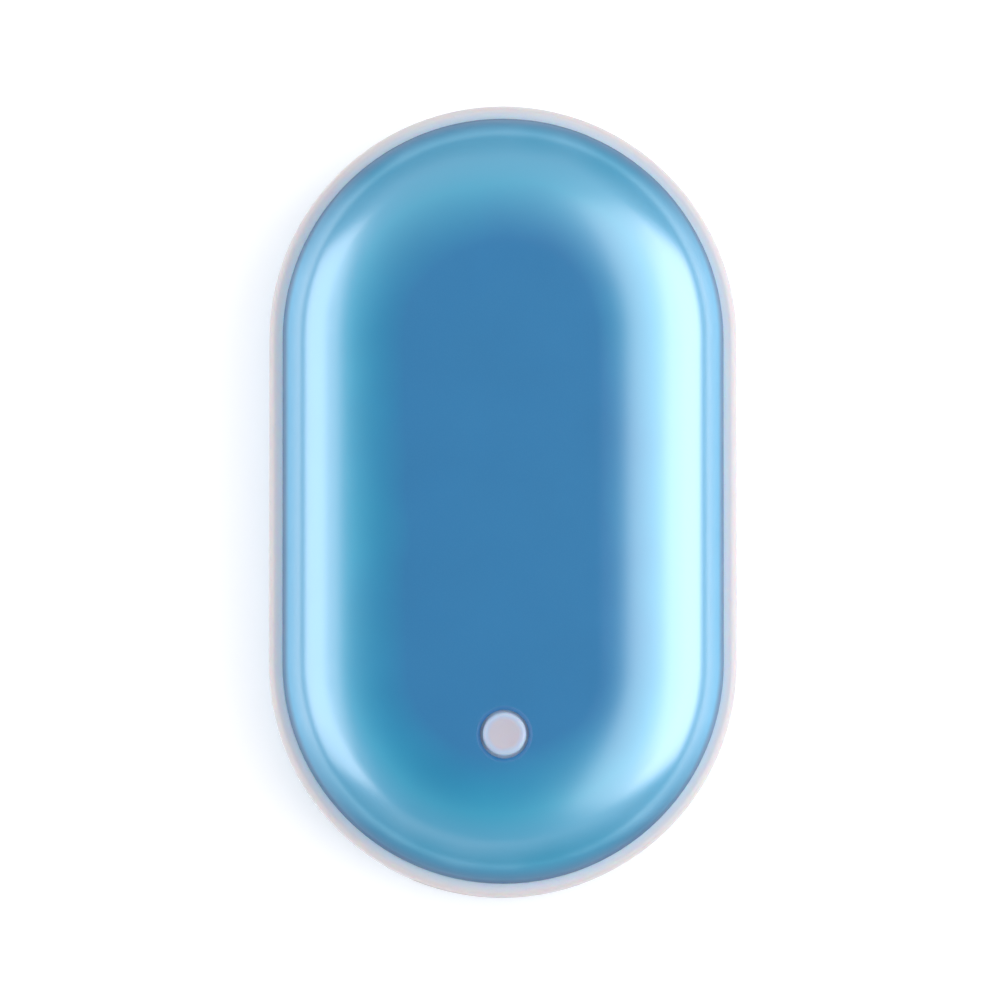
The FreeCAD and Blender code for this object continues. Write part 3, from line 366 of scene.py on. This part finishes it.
def heater_film():
    """Amber polyimide over a meander of etched foil."""
    s = Shader("heater_film")
    half_pitch = 0.9 * MM
    track_side = (0.32 * MM, 0.40 * MM)
    track_end = (29.5 * MM, 29.7 * MM)
    track = s.span(s.math("PINGPONG", s.axis("X"), half_pitch), track_side)
    within = s.span(s.math("ABSOLUTE", s.axis("Y")), track_end, (1.0, 0.0))
    amber = s.mix(s.noise(scale=240.0), rgb(176, 92, 18), rgb(150, 72, 12))
    foil = s.mix(s.noise(scale=800.0), rgb(128, 88, 52), rgb(108, 70, 40))
    colour = s.mix(s.math("MULTIPLY", track, within), amber, foil)
    s.set(Base_Color=colour, Roughness=s.vary(s.noise(scale=300.0), (0.22, 0.34)))
    s.set(Coat_Weight=0.6, Coat_Roughness=0.12)
    s.set(Normal=s.bump(track, distance=30 * MICRON, strength=0.5))
    return s.material


def felt():
    """Pale grey needled felt."""
    s = Shader("felt")
    fibre = s.noise(scale=1600.0, detail=8.0, roughness=0.75)
    tuft = s.noise(scale=420.0, detail=4.0)
    colour = s.mix(fibre, rgb(196, 192, 184), rgb(142, 138, 130))
    colour = s.mix(s.span(tuft, (0.5, 0.8), (0.0, 0.5)), colour, rgb(214, 211, 204))
    tufted = s.bump(tuft, distance=180 * MICRON, strength=0.6)
    s.set(Base_Color=colour, Roughness=s.vary(tuft, (0.86, 0.98)))
    s.set(Sheen_Weight=0.5, Sheen_Roughness=0.6)
    s.set(Normal=s.bump(fibre, distance=120 * MICRON, strength=0.9, under=tufted))
    return s.material


def cell_foil():
    """Grey laminated pouch foil with shallow dents."""
    s = Shader("cell_foil")
    dent = s.noise(scale=130.0, detail=2.0)
    fine = s.noise(scale=1500.0, detail=4.0)
    colour = s.mix(dent, rgb(176, 178, 182), rgb(152, 155, 160))
    dented = s.bump(dent, distance=200 * MICRON, strength=0.4)
    s.set(Base_Color=colour, Metallic=0.85, Roughness=s.vary(fine, (0.34, 0.5)))
    s.set(Normal=s.bump(fine, distance=10 * MICRON, strength=0.5, under=dented))
    return s.material


def soft_foam(name, light, dark, scale, depth):
    """Closed-cell foam or foam tape with open pores on its cut faces."""
    s = Shader(name)
    pore = s.cells(scale)
    colour = s.mix(s.span(pore, (0.1, 0.7)), dark, light)
    colour = s.mix(s.span(s.noise(scale=300.0), (0.4, 0.8), (0.0, 0.4)), colour, dark)
    s.set(Base_Color=colour, Roughness=s.span(pore, (0.0, 0.8), (0.75, 0.95)))
    s.set(Normal=s.bump(pore, distance=depth, strength=0.8))
    return s.material


def board_green():
    """Green solder mask over copper tracks, with bare laminate at the cut edges."""
    s = Shader("board_green")
    route = s.add("ShaderNodeTexBrick", offset=0.5, squash=1.0)
    route.inputs["Scale"].default_value = 260.0
    route.inputs["Mortar Size"].default_value = 0.035
    route.inputs["Mortar Smooth"].default_value = 0.2
    s.join(s.place, route.inputs["Vector"])
    track = route.outputs["Fac"]
    mask = s.mix(s.noise(scale=200.0), rgb(12, 84, 44), rgb(8, 66, 34))
    copper = s.mix(s.noise(scale=900.0), rgb(34, 122, 62), rgb(26, 106, 54))
    normal = s.add("ShaderNodeSeparateXYZ")
    s.join(s.add("ShaderNodeNewGeometry").outputs["Normal"], normal.inputs[0])
    side = s.span(s.math("ABSOLUTE", normal.outputs["Z"]), (0.3, 0.6), (1.0, 0.0))
    weave = s.noise(scale=2500.0, stretch=(1.0, 1.0, 6.0))
    laminate = s.mix(weave, rgb(172, 160, 104), rgb(140, 130, 82))
    colour = s.mix(side, s.mix(track, mask, copper), laminate)
    s.set(Base_Color=colour, Roughness=s.span(track, (0.0, 1.0), (0.30, 0.22)))
    s.set(Normal=s.bump(track, distance=30 * MICRON, strength=0.6))
    return s.material


def wire(name, light, dark):
    """Slightly glossy silicone insulation with handling marks."""
    s = Shader(name)
    colour = s.mix(s.noise(scale=700.0, detail=4.0), light, dark)
    s.set(Base_Color=colour, Roughness=s.vary(s.noise(scale=1400.0), (0.36, 0.52)))
    s.set(Subsurface_Weight=0.05, Subsurface_Scale=0.3 * MM)
    s.set(Normal=s.bump(s.noise(scale=5000.0), distance=12 * MICRON, strength=0.5))
    return s.material


def light_resin():
    """Clear epoxy over a pale yellow phosphor."""
    s = Shader("light_resin")
    colour = s.mix(s.noise(scale=1800.0), rgb(236, 220, 120), rgb(226, 202, 88))
    s.set(Base_Color=colour, Roughness=s.vary(s.noise(scale=900.0), (0.14, 0.24)))
    s.set(Coat_Weight=0.8, Coat_Roughness=0.06)
    s.set(Normal=s.bump(s.noise(scale=2600.0), distance=10 * MICRON, strength=0.5))
    return s.material


MATERIALS = {
    "blue_lacquer": blue_lacquer(),
    "pale_frame": pale_frame(),
    "pale_button": pale_button(),
    "heater_film": heater_film(),
    "felt": felt(),
    "cell_foil": cell_foil(),
    "white_tape": soft_foam("white_tape", rgb(232, 230, 224), rgb(200, 197, 190),
                            scale=2600.0, depth=30 * MICRON),
    "grey_foam": soft_foam("grey_foam", rgb(92, 93, 96), rgb(50, 51, 54),
                           scale=1500.0, depth=100 * MICRON),
    "nickel": metal("nickel", rgb(206, 200, 188), rgb(168, 162, 150), LENGTHWISE,
                    rough=(0.29, 0.40), edge=0.1 * MM),
    "board_green": board_green(),
    "black_plastic": plain_plastic("black_plastic", rgb(34, 34, 37), rgb(22, 22, 24),
                                   rough=(0.42, 0.58), grain=12 * MICRON),
    "tin_plate": metal("tin_plate", rgb(208, 210, 214), rgb(166, 168, 174), CROSSWISE,
                       rough=(0.29, 0.40), edge=0.15 * MM),
    "gold_contact": metal("gold_contact", rgb(236, 196, 104), rgb(208, 160, 70), LENGTHWISE,
                          rough=(0.16, 0.28), edge=0.08 * MM),
    "red_wire": wire("red_wire", rgb(190, 22, 20), rgb(150, 14, 14)),
    "black_wire": wire("black_wire", rgb(38, 38, 40), rgb(20, 20, 22)),
    "white_wire": wire("white_wire", rgb(226, 224, 218), rgb(200, 197, 190)),
    "ferrite": plain_plastic("ferrite", rgb(66, 64, 62), rgb(46, 45, 44),
                             rough=(0.55, 0.75), grain=30 * MICRON),
    "chip_ceramic": plain_plastic("chip_ceramic", rgb(150, 128, 96), rgb(124, 104, 78),
                                  rough=(0.32, 0.5), grain=10 * MICRON),
    "light_resin": light_resin(),
    "bead_epoxy": plain_plastic("bead_epoxy", rgb(120, 34, 26), rgb(90, 24, 20),
                                rough=(0.18, 0.3), grain=10 * MICRON),
    "screw_steel": metal("screw_steel", rgb(150, 150, 154), rgb(104, 104, 108), UPRIGHT,
                         rough=(0.30, 0.44), edge=0.1 * MM),
}


def dress():
    """Gives each node the material of its slot in the record."""
    for row in frame["record"]["subparts"]:
        for holder in frame["nodes"][row["node"]].material_slots:
            holder.material = MATERIALS[row["material_slot"]]


def make_snap_dome():
    """The switch's spring dome, which in the real switch flattens under the plunger, as an object of its own
    on the casing in place of the packed one.
    """
    dome = bpy.data.objects.new("snap_dome", frame["nodes"]["switch_dome"].data.copy())
    bpy.context.scene.collection.objects.link(dome)
    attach(dome, "casing")
    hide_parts("switch_dome")
    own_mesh(dome)


def floor_material():
    """White paper that is open from below. It glows for the camera and reflections only, least under and
    near the body, which paints a shadow there.
    """
    s = Shader("floor_paper")
    colour = s.mix(s.noise(scale=6.0, detail=2.0), rgb(246, 246, 246), rgb(243, 243, 244))
    s.set(Base_Color=colour, Roughness=s.vary(s.noise(scale=900.0), (0.75, 0.9)), Specular_IOR_Level=0.1)
    s.set(Normal=s.bump(s.noise(scale=1800.0, detail=4.0), distance=20 * MICRON, strength=0.3))
    path = s.add("ShaderNodeLightPath").outputs
    mirrored = s.math("MAXIMUM", path["Is Glossy Ray"], path["Is Transmission Ray"])
    seen = s.math("MAXIMUM", path["Is Camera Ray"], mirrored)
    # The glow is least under the body and full just outside it, a painted shadow.
    lift = s.span(plan_reach(s), PAPER_SHADOW_REACH, (0.04, 0.27))
    s.set(Emission_Color=(1.0, 1.0, 1.0, 1.0), Emission_Strength=s.math("MULTIPLY", seen, lift))
    below = s.add("ShaderNodeMixShader")
    s.join(s.add("ShaderNodeNewGeometry").outputs["Backfacing"], below.inputs[0])
    s.join(s.surface.outputs[0], below.inputs[1])
    s.join(s.add("ShaderNodeBsdfTransparent").outputs[0], below.inputs[2])
    s.join(below.outputs[0], s.nodes["Material Output"].inputs["Surface"])
    return s.material


def make_floor():
    """A large square of paper just under the part."""
    signs = ((-1, -1), (1, -1), (1, 1), (-1, 1))
    corners = [(x * FLOOR_HALF, y * FLOOR_HALF, -FLOOR_DROP) for x, y in signs]
    mesh = bpy.data.meshes.new("floor")
    mesh.from_pydata(corners, [], [(0, 1, 2, 3)])
    floor = bpy.data.objects.new("floor", mesh)
    floor.data.materials.append(floor_material())
    bpy.context.scene.collection.objects.link(floor)


def facing(toward):
    """The turn of a camera or lamp that looks back along a direction."""
    right = UP.cross(toward).normalized()
    upright = toward.cross(right)
    return Matrix((right, upright, toward)).transposed().to_euler()


def panel(name, tilt, distance, size, radiance, colour, mirrored=True):
    """A soft box aimed at the object from above, tilted to its right by so many degrees."""
    width, length = size
    data = bpy.data.lights.new(name, "AREA")
    data.shape = "RECTANGLE"
    data.size = width
    data.size_y = length
    data.energy = radiance * math.pi * width * length
    data.color = colour
    lamp = bpy.data.objects.new(name, data)
    bpy.context.scene.collection.objects.link(lamp)
    angle = math.radians(tilt)
    toward = Vector((math.sin(angle), 0.0, math.cos(angle)))
    lamp.location = toward * distance
    lamp.rotation_euler = facing(toward)
    lamp.visible_glossy = mirrored


def make_lights():
    """Soft boxes at both sides, and a fill overhead that the gloss doesn't mirror."""
    panel("right_tent", tilt=46.5, distance=0.70, size=(0.86, 0.90), radiance=0.98, colour=(1.0, 0.99, 0.98))
    panel("right_box", tilt=54.0, distance=0.66, size=(0.51, 0.74), radiance=1.20, colour=(1.0, 0.90, 0.93))
    panel("top_fill", tilt=0.0, distance=0.90, size=(0.60, 0.60), radiance=2.0, colour=(1.0, 1.0, 1.0),
          mirrored=False)
    panel("left_tent", tilt=-56.0, distance=0.70, size=(0.58, 0.88), radiance=1.46, colour=(1.0, 0.97, 1.0))


def make_world():
    """A bright tent that leaves a dark hole overhead, where the camera is."""
    world = bpy.data.worlds.new("studio")
    bpy.context.scene.world = world
    world.use_nodes = True
    nodes = world.node_tree.nodes
    links = world.node_tree.links
    height = nodes.new("ShaderNodeVectorMath")
    height.operation = "DOT_PRODUCT"
    height.inputs[1].default_value = TENT_HOLE
    links.new(nodes.new("ShaderNodeTexCoord").outputs["Generated"], height.inputs[0])
    ramp = nodes.new("ShaderNodeValToRGB")
    links.new(height.outputs["Value"], ramp.inputs["Fac"])
    elements = ramp.color_ramp.elements
    while len(elements) < len(TENT_LEVELS):
        elements.new(0.5)
    for element, (position, level) in zip(elements, TENT_LEVELS):
        element.position = position
        element.color = (level, level, level, 1.0)
    links.new(ramp.outputs["Color"], nodes["Background"].inputs["Color"])


def make_camera():
    """A long lens almost straight above, with the button end at the foot of the picture."""
    data = bpy.data.cameras.new("camera")
    camera = bpy.data.objects.new("camera", data)
    scene = bpy.context.scene
    scene.collection.objects.link(camera)
    scene.camera = camera
    width = BODY_LENGTH * PICTURE_PIXELS / BODY_PIXELS
    data.angle = 2.0 * math.atan(width / 2.0 / CAMERA_DISTANCE)
    data.clip_start, data.clip_end = CAMERA_CLIP
    data.shift_x = (PICTURE_PIXELS / 2.0 - BODY_MIDDLE[0]) / PICTURE_PIXELS
    data.shift_y = (BODY_MIDDLE[1] - PICTURE_PIXELS / 2.0) / PICTURE_PIXELS
    toward = Vector((math.sin(CAMERA_LEAN), -math.cos(CAMERA_ELEVATION), math.sin(CAMERA_ELEVATION)))
    toward.normalize()
    camera.location = CAMERA_AIM + toward * CAMERA_DISTANCE
    camera.rotation_euler = facing(toward)


dress()
make_snap_dome()
make_floor()
make_lights()
make_world()
make_camera()
bpy.context.scene.view_settings.view_transform = "Standard"
